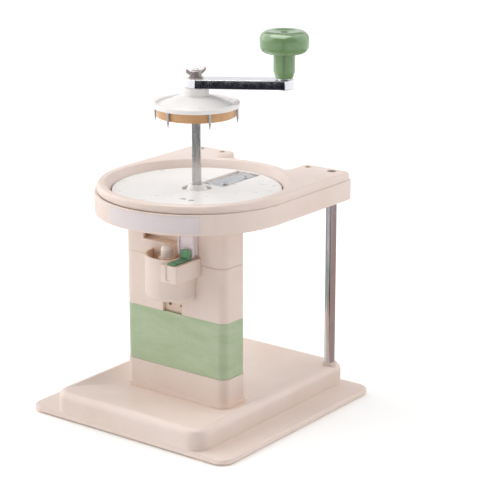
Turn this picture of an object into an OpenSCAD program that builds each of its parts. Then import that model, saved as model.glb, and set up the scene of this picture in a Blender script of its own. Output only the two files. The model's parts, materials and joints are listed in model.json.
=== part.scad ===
// Hand-cranked cabbage cutter: a tray base, a front column and two rear rods carry a round deck.
// Millimetres. X is the width, -Y is the front, +Z is up. The origin is under the middle of the base.

/* [Base] */
// Width of the base, side to side
base_w = 230; // [215:1:250]
// Length of the base, front to back
base_l = 230; // [224:1:250]
// Thickness of the side flanges
flange_t = 4.5; // [4:0.1:7]
// Corner radius of the flanges
flange_r = 13; // [6:0.5:18]
// Rounding of the flange's upper edge
flange_edge_r = 2; // [1:0.1:3]
// Width of the raised tray between the flanges
tray_w = 174; // [168:1:184]
// Distance of the tray from the front and back edges
tray_inset = 0.8; // [0.4:0.1:4]
// Corner radius of the tray
tray_r = 16; // [10:0.5:22]
// Rounding of the tray's upper edge
tray_edge_r = 7; // [3:0.5:9]
// Height of the tray rim above the flanges
rim_rise = 20; // [16:0.5:26]
// Height of the tray floor above the flanges
floor_rise = 11.2; // [8:0.1:14]
// Width of the rim from the tray's side to the dish
rim_w = 8.5; // [7.5:0.5:12]
// Width of the dish's sloping sides
dish_side = 14.5; // [10:0.5:17]
// Length of the dish's sloping ends
dish_end = 47.7; // [40:0.1:50]
// Wall thickness of the moulded base
base_wall = 3; // [2:0.1:4]
// Thickness of the flanges' skin above their hollow
flange_skin = 1.8; // [1.4:0.1:2.4]
// Thickness of the ribs below the base
rib_t = 2.4; // [1.6:0.1:4]

/* [Feet] */
// Height of the rubber feet below the base
foot_h = 1.5; // [1:0.1:3]
// Diameter of a rubber foot
foot_d = 16; // [12:0.5:18]
// Distance of a foot from the two base edges
foot_inset = 14; // [12:0.5:16]
// Diameter of the stud on a foot
foot_stud_d = 6; // [4:0.5:8]
// Length of the stud on a foot
foot_stud_h = 3; // [2:0.1:3.5]

/* [Column] */
// Width of the column
col_w = 116; // [108:1:118]
// Depth of the column
col_d = 33.2; // [30:0.2:38]
// Corner radius of the column
col_r = 8; // [4:0.5:10]
// Distance of the column's middle in front of the base's middle
col_front = 24.6; // [22:0.2:28]
// Wall thickness of the column
col_wall = 3; // [2.4:0.1:4]
// Height of the lower section
low_h = 27.6; // [20:0.2:40]
// Step by which the lower section is wider than the column
low_step = 0.8; // [0.4:0.1:1.6]
// Height of the flared foot of the lower section
flare_h = 4; // [2:0.5:8]
// Step of the flared foot beyond the lower section
flare_step = 1; // [0.4:0.1:1.6]
// Height of the middle section
mid_h = 53.5; // [40:0.5:70]
// Height of the upper section
head_h = 94.5; // [90:0.5:110]
// Height of the seam around the upper section, above the middle section
seam_rise = 51.2; // [48:0.2:54]
// Width of the seam
seam_w = 0.8; // [0.4:0.1:1.2]
// Depth of the seam
seam_d = 0.5; // [0.3:0.1:0.8]
// Height of the locating collars inside the column
collar_h = 5; // [3:0.5:8]
// Wall thickness of the locating collars
collar_t = 2; // [1.5:0.1:3]
// Half of the gap left open at the middle of each collar
collar_gap = 30; // [20:1:40]

/* [Column window and notch] */
// Reach of the window left of the middle
window_left = 35; // [30:0.5:40]
// Reach of the window right of the middle, behind the post
window_right = 26; // [22:0.5:27]
// Depth of the window's recess
window_depth = 10; // [8:0.5:11]
// Height of the window's sill above the middle section
window_sill = 65.2; // [62:0.2:72]
// Height of the window
window_h = 22; // [15:0.5:23]
// Width of the notch above the middle section
notch_w = 22; // [18:0.5:26]
// Distance of the notch's middle to the left
notch_left = 2; // [0:0.5:4]
// Height of the notch
notch_h = 9.7; // [7:0.1:12]
// Thickness of the plate behind the notch
plate_t = 2; // [1.5:0.1:3]
// Margin of the plate around the notch
plate_margin = 3; // [2:0.5:5]
// Diameter of the two holes in the plate
plate_hole_d = 3.4; // [2:0.1:4]
// Distance between the two holes
plate_hole_gap = 13.2; // [9:0.2:15]
// Height of the holes below the top of the notch
plate_hole_drop = 2.2; // [1:0.1:4]

/* [Deck] */
// Radius of the deck's round part
deck_r = 93.3; // [92:0.1:95]
// Distance of the deck's and shaft's axis in front of the base's middle
axis_front = 6.2; // [5:0.1:8]
// Height of the deck's skirt
skirt_h = 18.7; // [17:0.1:24]
// Depth of the recess below the deck's floor
under_h = 3; // [1:0.1:4]
// Wall thickness of the skirt
skirt_wall = 3; // [2:0.1:3.5]
// Thickness of the deck's floor
floor_t = 3; // [2:0.1:3.5]
// Height of the deck's upper tier
top_h = 7.7; // [6.8:0.1:11]
// Radius of the upper tier's round part
top_r = 93; // [92:0.1:93.2]
// Distance of the upper tier's centre behind the axis
top_back = 3.2; // [1:0.1:4]
// Rounding of the upper tier's edge
top_edge_r = 3.2; // [1:0.1:3.3]
// Reach of the tabs behind the rods
tab_over = 13.3; // [11:0.1:16]
// Distance of the tabs' inner edge from the middle
tab_in = 41; // [37:0.1:43]
// Corner radius of the tabs
tab_r = 6; // [5:0.1:8]
// Step of the upper tier inside the tabs' back edge
tab_step = 3.4; // [1:0.1:5]
// Corner radius of the upper tier's tabs
tab_top_r = 5; // [4:0.1:7]
// Radius of the well around the cutting table
well_r = 78.5; // [78.2:0.1:80]
// Wall thickness of the well
well_wall = 2.5; // [2:0.1:4]
// Radius of the recess at the deck's top
recess_r = 84; // [82:0.1:85]
// Outer diameter of the hub in the deck
hub_d = 25; // [24:0.2:25.2]

/* [Rear rods] */
// Diameter of the rods
rod_d = 10; // [8:0.2:12]
// Distance of the rods from the tray's sides
rod_side = 9; // [8:0.2:12]
// Distance of the rods from the base's back edge
rod_back = 18; // [16:0.2:20]
// Depth of a rod in its boss on the base
rod_seat = 10; // [6:0.5:14]
// Depth of a rod in its boss in the deck
rod_cap = 9; // [7:0.2:10]
// Diameter of the bosses on the base
rod_boss_d = 14; // [13:0.2:16]
// Height of the bosses above the rim
rod_boss_h = 2.4; // [1:0.1:4]
// Diameter of the bosses in the deck
rod_post_d = 17; // [15:0.5:18]
// Shank diameter of the rod screws
rod_screw_d = 5; // [4:0.1:5.5]
// Length of the rod screws in the rods
rod_screw_in = 11; // [8:0.5:16]
// Head diameter of the rod screws
rod_head_d = 8.2; // [7.5:0.1:9]
// Head height of the rod screws
rod_head_h = 3; // [2:0.1:3.5]
// Depth of the rod screws' heads below the deck's top
rod_head_drop = 1.2; // [0.5:0.1:2]

/* [Tie rods and small screws] */
// Diameter of the tie rods in the column
tie_d = 6; // [5:0.1:8]
// Distance of the tie rods from the middle
tie_x = 43; // [42:0.5:45]
// Depth of the tie rods in the deck's bosses
tie_in = 9; // [6:0.2:9.5]
// Diameter of the bosses for the tie rods
tie_boss_d = 12; // [11:0.5:14]
// Width across the corners of the tie nuts
tie_nut_d = 11.5; // [10:0.1:13]
// Height of the tie nuts
tie_nut_h = 4; // [3:0.1:4.5]
// Length of a tie rod below its nut
tie_out = 2; // [1:0.1:3]
// Distance of the small deck screws from the middle
tab_screw_x = 51; // [50:0.2:54]
// Shank diameter of the small screws
small_screw_d = 3; // [2.5:0.1:3.5]
// Head diameter of the small screws
small_head_d = 5.4; // [4.8:0.1:5.8]
// Head height of the small screws
small_head_h = 1.8; // [1.2:0.1:2.4]
// Depth of the small deck screws' heads below the deck's top
small_head_drop = 1.6; // [0.5:0.1:2.5]
// Length of the small screws in what they hold
small_screw_in = 8; // [6:0.5:9]
// Diameter of the bosses for the small screws
small_boss_d = 9; // [8:0.5:11]

/* [Cup and channel] */
// Outer radius of the half-round cup
cup_r = 26; // [24:0.2:28]
// Wall thickness of the cup
cup_wall = 2.5; // [2:0.1:3]
// Height of the cup
cup_h = 40; // [36:0.5:44]
// Height of the cup's rim below the window's sill
cup_drop = 7.5; // [6:0.1:9]
// Rounding of the cup's lower edge
cup_edge_r = 4; // [2:0.2:5]
// Height of the cup's mounting plate
cup_plate_h = 20; // [16:0.5:22]
// Distance of the cup's screws from the middle
cup_screw_x = 15; // [13:0.2:16]
// Distance of the channel's left side from the middle
channel_x = 13.5; // [13:0.1:14]
// Outer width of the channel
channel_w = 18.4; // [18:0.1:19]
// Rounding of the channel's upright edges
channel_r = 1.6; // [1:0.1:1.9]
// Thickness of the channel's left wall
channel_left = 6.8; // [6:0.1:7.2]
// Thickness of the channel's right wall
channel_right = 4; // [3:0.1:4.5]
// Reach of the channel in front of the column
channel_l = 34.8; // [33:0.2:38]
// Height of the channel
channel_h = 16; // [14:0.2:19]
// Thickness of the channel's floor and front wall
channel_wall = 2; // [1.5:0.1:2.4]
// Distance of the groove in the channel's front from its left side
groove_in = 6.1; // [5:0.1:7]
// Width of that groove
groove_w = 4.4; // [3:0.1:5]
// Depth of that groove
groove_d = 0.9; // [0.4:0.1:1.2]

/* [Slider, post and button] */
// Travel of the slider
slider_travel = 10; // [6:0.5:12]
// Drop of the table over the slider's travel
table_drop = 2.5; // [1:0.1:2.8]
// Distance of the pad's end behind the channel's front
pad_in = 1.5; // [0.5:0.1:2.5]
// Reach of the pad over the channel's walls
pad_over = 0.4; // [0.2:0.1:1]
// Thickness of the slider's pad
pad_t = 1.2; // [1:0.1:2]
// Height of the ridges on the pad
ridge_h = 0.5; // [0.3:0.1:0.8]
// Number of ridges on the pad
ridge_n = 5; // [3:1:6]
// Height of the slider's upright above the channel
upright_h = 9.4; // [6:0.2:12]
// Thickness of the slider's upright
upright_t = 4.3; // [3:0.1:6]
// Distance of the upright from the post
upright_gap = 1.7; // [0.4:0.1:2.5]
// Width of the lifting post
post_w = 17.5; // [16:0.1:18.5]
// Depth of the lifting post
post_d = 8; // [7:0.1:9]
// Distance of the post's right side from the middle
post_x1 = 29; // [28.5:0.1:30]
// Width of the groove in the post's side
post_groove = 2.4; // [1.5:0.1:3]
// Diameter of the button
button_d = 11; // [10:0.1:12]
// Diameter of the flat on the button's round top
button_flat = 1; // [0.4:0.1:4]
// Height of the button above the cup's rim
button_h = 10; // [7:0.2:12]
// Travel of the button
button_travel = 4; // [2:0.5:5]
// Distance of the button in front of the column
button_front = 9; // [8.5:0.1:10]
// Height of the button's guide in the cup
guide_h = 36; // [30:0.5:37]
// Wall thickness of the button's guide
guide_wall = 2.2; // [1.6:0.1:2.4]

/* [Table and blade] */
// Radius of the cutting table
table_r = 77.5; // [76:0.1:77.8]
// Thickness of the cutting table
table_t = 3; // [2:0.1:3.5]
// Height of the table's face above the skirt
table_rise = 1; // [0.6:0.1:2]
// Diameter of the table's guide pins
pin_d = 6; // [5:0.1:7]
// Distance of the guide pins from the middle
pin_x = 62; // [58:0.5:65]
// Length of the guide pins
pin_l = 10; // [9:0.2:10.4]
// Diameter of the guide pins' bosses
pin_boss_d = 11; // [10:0.5:13]
// Width of the blade
blade_w = 18; // [15:0.5:19]
// Thickness of the blade
blade_t = 1.2; // [0.8:0.1:1.5]
// Length of the blade
blade_l = 55; // [48:0.5:56]
// Tilt of the blade in degrees
blade_tilt = 8; // [5:0.5:9]
// Length of the blade's ground bevel
bevel_l = 3.5; // [2:0.1:5]
// Height of the cutting edge above the table
blade_rise = 0.5; // [0.2:0.1:1]
// Distance of the blade's edge left of the middle
blade_left = 1; // [0:0.5:3]
// Distance of the blade's inner end from the axis
blade_in = 17; // [16:0.2:18]
// Gap in front of the cutting edge
throat_w = 8; // [6:0.5:10]
// Gap behind and beside the blade in the table
blade_gap = 1.5; // [1:0.1:2.5]
// Distance of the blade's bed behind the bevel
bed_back = 1; // [0.5:0.1:2]
// Distance of the blade screws from the blade's ends
blade_screw_in = 12; // [8:0.5:16]

/* [Crank] */
// Width of the square shaft
shaft_w = 8; // [7:0.1:9]
// Height of the pressing disc's underside above the deck's top
press_rise = 68.8; // [64:0.2:74]
// Travel of the pressing disc
press_travel = 52; // [30:1:54]
// Length of the shaft below the deck's floor at the top of the travel
shaft_tail = 10; // [6:0.5:14]
// Room below the shaft at the end of its travel
shaft_room = 2; // [1:0.1:4]
// Outer diameter of the shaft's tube on the column
tube_d = 20; // [18.5:0.1:22]
// Bore of the shaft's tube
tube_bore = 14; // [13.2:0.1:15]
// Thickness of the tube's lower end
tube_end = 3; // [2:0.2:4]
// Diameter of the turning bush
bush_d = 20; // [18:0.1:20.6]
// Diameter of the turning bush's collar
bush_collar_d = 24; // [23:0.1:25]
// Thickness of the collar
bush_collar_t = 2; // [1.5:0.1:2.4]
// Height of the bush's pointed nose
bush_nose_h = 6; // [4:0.2:8]
// Diameter at the tip of the nose
bush_tip_d = 13.5; // [13:0.1:16]
// Radius of the pressing disc
disc_r = 39.8; // [39:0.1:44]
// Thickness of the pressing disc's plate
disc_t = 2; // [1.6:0.1:3]
// Height of the pressing disc's rim
disc_rim_h = 4.6; // [4:0.1:7]
// Thickness of the pressing disc's rim
disc_rim_t = 3.4; // [2.4:0.1:4]
// Rise of the disc's dome
dome_h = 9; // [5:0.5:10]
// Diameter of the pressing disc's boss
boss_d = 23.5; // [20:0.1:26]
// Height of the boss above the disc's underside
boss_h = 17.2; // [14:0.2:22]
// Outer radius of the grip ring
ring_r = 36; // [34:0.1:36.1]
// Wall thickness of the grip ring
ring_wall = 3; // [2:0.1:4]
// Height of the grip ring
ring_h = 8.5; // [5:0.1:10]
// Number of spikes
spike_n = 6; // [4:1:8]
// Diameter of the spikes
spike_d = 2.2; // [1.8:0.1:2.4]
// Length of the spikes
spike_l = 14; // [12:0.5:15]
// Length of the spikes' points
spike_tip = 5; // [3:0.5:7]
// Distance of the spikes from the disc's edge
spike_in = 1; // [0.8:0.1:1.2]
// Direction of the first spike in degrees
spike_a = 27; // [0:1:60]

/* [Crank arm and knob] */
// Distance between the shaft and the knob
arm_l = 79; // [70:0.5:95]
// Width of the arm
arm_w = 18.5; // [17:0.1:22]
// Thickness of the arm
arm_t = 8.3; // [6:0.1:9]
// Direction of the arm in degrees
arm_a = 33; // [0:1:60]
// Diameter of the washer on the arm
washer_d = 13; // [12:0.1:16]
// Thickness of the washer
washer_t = 1.2; // [0.8:0.1:2]
// Thread diameter at the shaft's top
stub_d = 6; // [5:0.1:6.5]
// Length of the thread above the arm
stub_h = 8.5; // [7:0.1:10]
// Diameter of the wing nut's foot
nut_d = 11; // [10:0.1:12]
// Height of the wing nut's foot
nut_h = 5.6; // [4.5:0.1:7]
// Span of the wings
wing_span = 23; // [20:0.5:26]
// Height of the wings
wing_h = 9.5; // [8:0.1:11]
// Thickness of the wings
wing_t = 2.2; // [1.8:0.1:3]
// Diameter of the knob's pin
knob_pin_d = 8; // [6:0.1:9]
// Length of the pin inside the knob
knob_pin_l = 30; // [20:0.5:32]
// Diameter of the pin's rivet end in the arm
rivet_d = 7; // [5:0.1:7.5]
// Diameter of the pin's collar and rivet head
rivet_head_d = 12; // [10:0.2:14]
// Thickness of the pin's collar and rivet head
rivet_head_t = 1; // [0.8:0.1:1.6]
// Radius of the knob's cap
cap_r = 22.2; // [20:0.1:26]
// Height of the knob's cap
cap_h = 20; // [18:0.2:24]
// Rounding of the cap's upper edge
cap_top_r = 8; // [6:0.2:9]
// Rounding of the cap's lower edge
cap_low_r = 7; // [5:0.2:8]
// Depth of the hollow in the cap's top
cap_dish = 1.6; // [0.6:0.1:2.5]
// Diameter of the hollow in the cap's top
cap_dish_d = 24; // [18:0.5:28]
// Diameter of the dimple in the hollow
dimple_d = 7; // [4:0.5:9]
// Radius of the knob's stem at the cap
stem_r = 9.8; // [8.5:0.1:12]
// Radius of the knob's stem at its lower end
stem_low_r = 8; // [7:0.1:9]
// Height of the stem's tapered lower part
stem_taper = 6; // [3:0.5:10]
// Length of the stem
stem_h = 22.5; // [18:0.5:26]

/* [Fits] */
// Radial clearance of running fits
run_fit = 0.06; // [0.02:0.01:0.1]
// Radial clearance of screws and studs in their holes
screw_fit = 0.05; // [0.02:0.01:0.2]
// Depth of blind holes past the end of what they hold
hole_end = 1; // [0.5:0.1:1.5]
// Clearance of sliding faces
slide_fit = 0.25; // [0.15:0.05:0.3]

/* [Hidden] */
$fn = 72;
eps = 0.01;
// Levels
flange_z = foot_h + flange_t;
floor_z = flange_z + floor_rise;
rim_z = flange_z + rim_rise;
mid_z = floor_z + low_h;
head_z = mid_z + mid_h;
head_top_z = head_z + head_h;
skirt_z = head_top_z - under_h;
deck_floor_z = head_top_z + floor_t;
tier_z = skirt_z + skirt_h;
top_z = tier_z + top_h;
table_z = tier_z + table_rise;
disc_z = top_z + press_rise;
arm_z = disc_z + boss_h;
arm_top_z = arm_z + arm_t;
knob_z = arm_top_z + rivet_head_t + slide_fit;
rod_foot_z = rim_z + rod_boss_h - rod_seat;
rod_top_z = head_top_z + rod_cap;
// Rod and tab places
rod_x = tray_w / 2 - rod_side;
rod_y = base_l / 2 - rod_back;
tab_back = rod_y + tab_over;
// Column and cup places
col_y = -col_front;
face_y = col_y - col_d / 2;
axis_y = -axis_front;
sill_z = head_z + window_sill;
rim_cup_z = sill_z - cup_drop;
cup_z = rim_cup_z - cup_h;
channel_z = rim_cup_z - channel_h;
channel_in_x = channel_x + channel_left;
channel_in_w = channel_w - channel_left - channel_right;
channel_y = face_y - channel_l;
// Slider, post and button places
slope = table_drop / slider_travel;
slider_x = channel_in_x + slide_fit;
slider_w = channel_in_w - 2 * slide_fit;
pad_z = rim_cup_z + slide_fit;
post_y1 = face_y - slide_fit;
post_y0 = post_y1 - post_d;
upright_y1 = post_y0 - upright_gap;
upright_y0 = upright_y1 - upright_t;
ramp_z = rim_cup_z - slide_fit;
tail_y = post_y1 + slider_travel + slide_fit;
tail_bottom = channel_z + channel_wall + slide_fit;
button_y = face_y - button_front;
button_top = rim_cup_z + button_h;
// Deck and blade places
blade_y = axis_y + blade_in;
slot_x0 = -blade_left - throat_w;
slot_x1 = -blade_left + blade_w + blade_gap;
edge_z = table_z + blade_rise;
bed_x0 = -blade_left + bevel_l + bed_back;
hub_top_z = tier_z - bush_collar_t - blade_gap;
boss_top_z = table_z - table_t - table_drop - slide_fit;
top_y = axis_y + top_back;
edge_stop = 1;

// Rectangle with round corners, centred
module round_rect(w, d, r) {
    square([w - 2 * r, d], center = true);
    square([w, d - 2 * r], center = true);
    for (x = [-1, 1], y = [-1, 1])
        translate([x * (w / 2 - r), y * (d / 2 - r)])
            circle(r);
}

// Half section of an upright wall with a round upper edge
module edge_profile(r, h, edge_r) {
    intersection() {
        square([r, h]);
        union() {
            square([r, h - edge_r]);
            square([r - edge_r, h]);
            translate([r - edge_r, h - edge_r])
                circle(edge_r);
        }
    }
}

// Upright prism with round corners and a round upper edge, from its corner centres
module round_prism(pts, h, r, edge_r) {
    linear_extrude(h)
        polygon(pts);
    for (i = [0 : len(pts) - 1]) {
        p = pts[i];
        q = pts[(i + 1) % len(pts)];
        translate(p)
            rotate_extrude()
                edge_profile(r, h, edge_r);
        translate(p)
            rotate([0, 0, atan2(q[1] - p[1], q[0] - p[0])])
                rotate([90, 0, 90])
                    linear_extrude(norm(q - p))
                        mirror([1, 0])
                            edge_profile(r, h, edge_r);
    }
}

// Slab with round corners and a round upper edge, centred
module round_slab(w, l, h, r, edge_r) {
    x = w / 2 - r;
    y = l / 2 - r;
    round_prism([[-x, -y], [x, -y], [x, y], [-x, y]], h, r, edge_r);
}

// Copies to the left and the right side
module both_sides() {
    children();
    mirror([1, 0, 0])
        children();
}

// Pan-head screw with its head's underside at the origin, pointing down
module screw(d, l, head_d, head_h) {
    translate([0, 0, -l])
        cylinder(d = d, h = l);
    cylinder(d = head_d, h = head_h);
}

// Hollow column section
module column_tube(h, step) {
    difference() {
        linear_extrude(h)
            round_rect(col_w + 2 * step, col_d + 2 * step, col_r + step);
        translate([0, 0, -eps])
            linear_extrude(h + 2 * eps)
                column_bore(0);
    }
}

// Inside outline of the column, drawn in by a gap
module column_bore(gap) {
    round_rect(col_w - 2 * col_wall - 2 * gap, col_d - 2 * col_wall - 2 * gap, col_r - col_wall);
}

// Plan of a locating collar with a gap to the wall, open in the middle at the front and the back
module collar_plan(gap) {
    difference() {
        column_bore(gap);
        column_bore(slide_fit + collar_t);
        square([2 * collar_gap, col_d], center = true);
    }
}

// Locating collar on a section's upper end, with its root on the wall
module column_collar() {
    translate([0, 0, -eps])
        linear_extrude(collar_h + eps)
            collar_plan(slide_fit);
    translate([0, 0, -collar_h])
        linear_extrude(collar_h)
            collar_plan(-col_wall / 2);
}

// Plan of the right tab between two distances to the side and to the back, with round rear corners
module tab_plan(x0, x1, y0, y1, r) {
    translate([x0, y0])
        square([x1 - x0, y1 - r - y0]);
    translate([x0 + r, y0])
        square([x1 - x0 - 2 * r, y1 - y0]);
    for (x = [x0 + r, x1 - r])
        translate([x, y1 - r])
            circle(r);
}

// Plan of the deck, drawn in by a wall
module deck_plan(wall) {
    translate([0, axis_y])
        circle(deck_r - wall);
    both_sides()
        tab_plan(tab_in + wall, deck_r - wall, axis_y, tab_back - wall, tab_r - wall);
}

module base_tray() {
    tray_l = base_l - 2 * tray_inset;
    dish_w = tray_w - 2 * rim_w;
    dish_l = tray_l - 2 * rim_w;
    dish_r = tray_r - rim_w / 2;
    dish_floor_w = dish_w - 2 * dish_side;
    dish_floor_l = dish_l - 2 * dish_end;
    inner_w = tray_w - 2 * base_wall;
    inner_l = tray_l - 2 * base_wall;
    roof_z = floor_z - base_wall;
    color([0.90, 0.82, 0.77])
    difference() {
        union() {
            difference() {
                union() {
                    translate([0, 0, foot_h])
                        round_slab(base_w, base_l, flange_t, flange_r, flange_edge_r);
                    translate([0, 0, foot_h])
                        round_slab(tray_w, tray_l, rim_z - foot_h, tray_r, tray_edge_r);
                }
                // Dish with sloping sides
                hull() {
                    translate([0, 0, floor_z])
                        linear_extrude(eps)
                            round_rect(dish_floor_w, dish_floor_l, dish_r, $fn = 32);
                    translate([0, 0, rim_z])
                        linear_extrude(eps)
                            round_rect(dish_w, dish_l, dish_r, $fn = 32);
                }
                // Hollow below the flanges and below the tray
                translate([0, 0, foot_h - eps])
                    linear_extrude(flange_t - flange_skin)
                        round_rect(base_w - 2 * base_wall, base_l - 2 * base_wall, flange_r - base_wall);
                translate([0, 0, foot_h - eps])
                    linear_extrude(roof_z - foot_h + eps)
                        round_rect(inner_w, inner_l, tray_r - base_wall);
            }
            // Ribs below the floor
            for (y = [-1, 0, 1])
                translate([-inner_w / 2, y * inner_l / 3 - rib_t / 2, flange_z - base_wall / 2])
                    cube([inner_w, rib_t, roof_z - flange_z + base_wall]);
            both_sides() {
                translate([tie_x / 2 - rib_t / 2, -inner_l / 2, flange_z - base_wall / 2])
                    cube([rib_t, inner_l, roof_z - flange_z + base_wall]);
                // Rod boss
                translate([rod_x, rod_y, foot_h + base_wall])
                    cylinder(d = rod_boss_d, h = rim_z + rod_boss_h - foot_h - base_wall);
                // Pads for the feet
                for (y = [-1, 1])
                    translate([base_w / 2 - foot_inset, y * (base_l / 2 - foot_inset), foot_h])
                        cylinder(d = foot_d, h = flange_t - flange_skin / 2);
            }
            // Locating collar for the column
            translate([0, col_y, floor_z - eps])
                linear_extrude(collar_h)
                    collar_plan(slide_fit);
        }
        both_sides() {
            // Rod socket and the hole of its screw
            translate([rod_x, rod_y, rod_foot_z])
                cylinder(d = rod_d + 2 * screw_fit, h = rod_seat + eps);
            translate([rod_x, rod_y, foot_h])
                cylinder(d = rod_screw_d + 2 * screw_fit, h = rim_z);
            // Hole of the tie rod
            translate([tie_x, col_y, foot_h])
                cylinder(d = tie_d + 2 * screw_fit, h = floor_z);
            // Holes of the feet's studs
            for (y = [-1, 1])
                translate([base_w / 2 - foot_inset, y * (base_l / 2 - foot_inset), foot_h - eps])
                    cylinder(d = foot_stud_d + 2 * screw_fit, h = foot_stud_h + slide_fit);
        }
    }
}

module rubber_feet() {
    color([0.35, 0.35, 0.36])
    both_sides()
        for (y = [-1, 1])
            translate([base_w / 2 - foot_inset, y * (base_l / 2 - foot_inset), 0]) {
                cylinder(d = foot_d, h = foot_h);
                cylinder(d = foot_stud_d, h = foot_h + foot_stud_h);
            }
}

module column_low() {
    color([0.90, 0.82, 0.77])
    translate([0, col_y, floor_z]) {
        column_tube(low_h, low_step);
        column_tube(flare_h, low_step + flare_step);
        translate([0, 0, low_h])
            column_collar();
    }
}

module column_mid() {
    color([0.68, 0.76, 0.63])
    translate([0, col_y, mid_z]) {
        column_tube(mid_h, 0);
        translate([0, 0, mid_h])
            column_collar();
    }
}

module column_head() {
    tube_z = head_top_z - shaft_tail - press_travel - tube_end - shaft_room;
    recess_w = col_w - 2 * col_r;
    color([0.90, 0.82, 0.77])
    difference() {
        union() {
            difference() {
                translate([0, col_y, head_z])
                    column_tube(head_h, 0);
                // Seam all round
                translate([0, col_y, head_z + seam_rise - seam_w / 2])
                    linear_extrude(seam_w)
                        difference() {
                            square([col_w + col_d, col_w + col_d], center = true);
                            round_rect(col_w - 2 * seam_d, col_d - 2 * seam_d, col_r - seam_d);
                        }
            }
            translate([0, axis_y, tube_z])
                cylinder(d = tube_d, h = head_top_z - tube_z);
            // Floor and back of the window's recess
            translate([-recess_w / 2, face_y + col_wall / 2, sill_z - col_wall])
                cube([recess_w, window_depth, col_wall]);
            translate([-recess_w / 2, face_y + window_depth, sill_z - col_wall])
                cube([recess_w, col_wall, window_h + 2 * col_wall]);
        }
        // Bore for the shaft
        translate([0, axis_y, tube_z + tube_end])
            cylinder(d = tube_bore, h = head_top_z);
        // Window below the deck
        translate([-window_left, face_y - eps, sill_z])
            cube([window_left + window_right, col_wall + 2 * eps, window_h]);
        // Notch above the middle section
        translate([-notch_left - notch_w / 2, face_y - eps, head_z - eps])
            cube([notch_w, col_wall + 2 * eps, notch_h]);
        // Way in for the slider's tail
        translate([channel_in_x, face_y - eps, channel_z + channel_wall])
            cube([channel_in_w, col_wall + 2 * eps, channel_h - channel_wall]);
        // Holes of the cup's screws
        both_sides()
            translate([cup_screw_x, face_y - eps, cup_z + cup_plate_h / 2])
                rotate([-90, 0, 0])
                    cylinder(d = small_screw_d + 2 * screw_fit, h = col_wall + 2 * eps);
    }
}

module notch_plate() {
    color([0.94, 0.90, 0.86])
    difference() {
        translate([-notch_left - notch_w / 2 - plate_margin, face_y + col_wall, head_z])
            cube([notch_w + 2 * plate_margin, plate_t, notch_h + plate_margin]);
        for (x = [-1, 1])
            translate([x * plate_hole_gap / 2, face_y, head_z + notch_h - plate_hole_drop])
                rotate([-90, 0, 0])
                    cylinder(d = plate_hole_d, h = 2 * col_wall + plate_t);
    }
}

module cup_housing() {
    floor_top = cup_z + cup_wall;
    color([0.90, 0.82, 0.77])
    difference() {
        union() {
            difference() {
                // Half-round cup with a round lower edge
                translate([0, face_y, rim_cup_z])
                    rotate([180, 0, 0])
                        rotate_extrude(angle = 180)
                            edge_profile(cup_r, cup_h, cup_edge_r);
                translate([0, face_y, floor_top])
                    cylinder(r = cup_r - cup_wall, h = cup_h);
            }
            // Mounting plate
            intersection() {
                translate([-cup_r, face_y - cup_wall, cup_z + cup_edge_r])
                    cube([2 * cup_r, cup_wall, cup_plate_h - cup_edge_r]);
                translate([0, face_y, cup_z])
                    cylinder(r = cup_r - cup_wall / 2, h = cup_h);
            }
            // Guide of the button
            translate([0, button_y, floor_top - eps])
                cylinder(r = button_d / 2 + guide_wall, h = guide_h);
            // Channel of the slider
            translate([channel_x, channel_y, channel_z])
                linear_extrude(channel_h) {
                    translate([channel_w / 2, channel_l / 2])
                        round_rect(channel_w, channel_l, channel_r);
                    translate([0, channel_l / 2])
                        square([channel_w, channel_l / 2]);
                }
        }
        translate([0, button_y, floor_top])
            cylinder(d = button_d + 2 * run_fit, h = cup_h);
        translate([channel_in_x, channel_y + channel_wall, channel_z + channel_wall])
            cube([channel_in_w, channel_l, channel_h]);
        // Groove in the channel's front
        translate([channel_x + groove_in, channel_y - eps, channel_z + channel_wall])
            cube([groove_w, groove_d + eps, channel_h]);
        both_sides()
            translate([cup_screw_x, face_y - 2 * cup_wall, cup_z + cup_plate_h / 2])
                rotate([-90, 0, 0])
                    cylinder(d = small_screw_d + 2 * screw_fit, h = 2 * cup_wall + eps);
    }
}

module cup_screws() {
    color([0.75, 0.75, 0.76])
    both_sides()
        translate([cup_screw_x, face_y - cup_wall, cup_z + cup_plate_h / 2])
            rotate([90, 0, 0])
                screw(small_screw_d, cup_wall + col_wall + hole_end, small_head_d, small_head_h);
}

module lift_slider() {
    pad_x = channel_in_x - pad_over;
    pad_y = channel_y + pad_in;
    pad_w = channel_in_w + 2 * pad_over;
    web_y = channel_y + channel_wall + slider_travel + slide_fit;
    ridge_step = (upright_y0 - pad_y) / ridge_n;
    color([0.29, 0.59, 0.41]) {
        // Ridged pad
        translate([pad_x, pad_y, pad_z])
            cube([pad_w, upright_y1 - pad_y, pad_t]);
        for (i = [0 : ridge_n - 1])
            translate([pad_x, pad_y + (i + 0.25) * ridge_step, pad_z])
                cube([pad_w, ridge_step / 2, pad_t + ridge_h]);
        // Upright
        translate([pad_x, upright_y0, pad_z])
            cube([pad_w, upright_t, upright_h]);
        // Web in the channel, clear of its front wall at the end of the travel
        translate([slider_x, web_y, tail_bottom])
            cube([slider_w, upright_y1 - web_y, pad_z - tail_bottom + eps]);
        // Wedge tail below the post
        translate([slider_x, 0, 0])
            rotate([90, 0, 90])
                linear_extrude(slider_w)
                    polygon([
                        [upright_y0, tail_bottom],
                        [tail_y, tail_bottom],
                        [tail_y, ramp_z - slope * (tail_y - upright_y1)],
                        [upright_y1, ramp_z],
                        [upright_y1, pad_z + eps],
                        [upright_y0, pad_z + eps]
                    ]);
    }
}

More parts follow.
